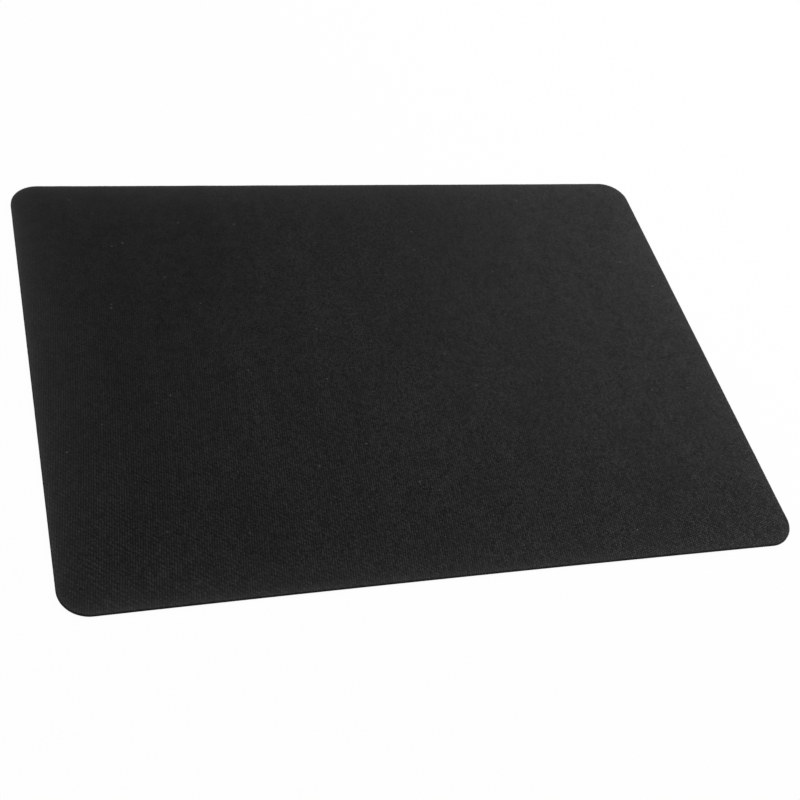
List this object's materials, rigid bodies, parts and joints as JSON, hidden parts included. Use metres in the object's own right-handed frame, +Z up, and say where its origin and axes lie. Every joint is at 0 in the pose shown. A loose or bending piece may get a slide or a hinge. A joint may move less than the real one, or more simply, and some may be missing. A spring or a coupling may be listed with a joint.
{
  "type": "mouse pad",
  "caption": "Thin rectangular desk mouse pad with rounded corners: black woven cloth face bonded to a rubber base, edges cut plain.",
  "frame": {"origin": "middle of the underside, on the desk", "axes": "+X along the long side, +Y away from the user, +Z up through the layers"},
  "size_m": [0.3, 0.22, 0.0013],
  "materials": {
    "woven_cloth": "heat-pressed black polyester twill, matt with a faint sheen",
    "hot_melt_bond": "dark hot-melt film, seen only as a hairline in the cut edge",
    "base_rubber": "matt black foamed rubber with a fine anti-slip emboss underneath"
  },
  "bodies": {
    "root": {"rubber_base": "base_rubber", "bond_film": "hot_melt_bond", "cloth_top": "woven_cloth"}
  },
  "joints": []
}
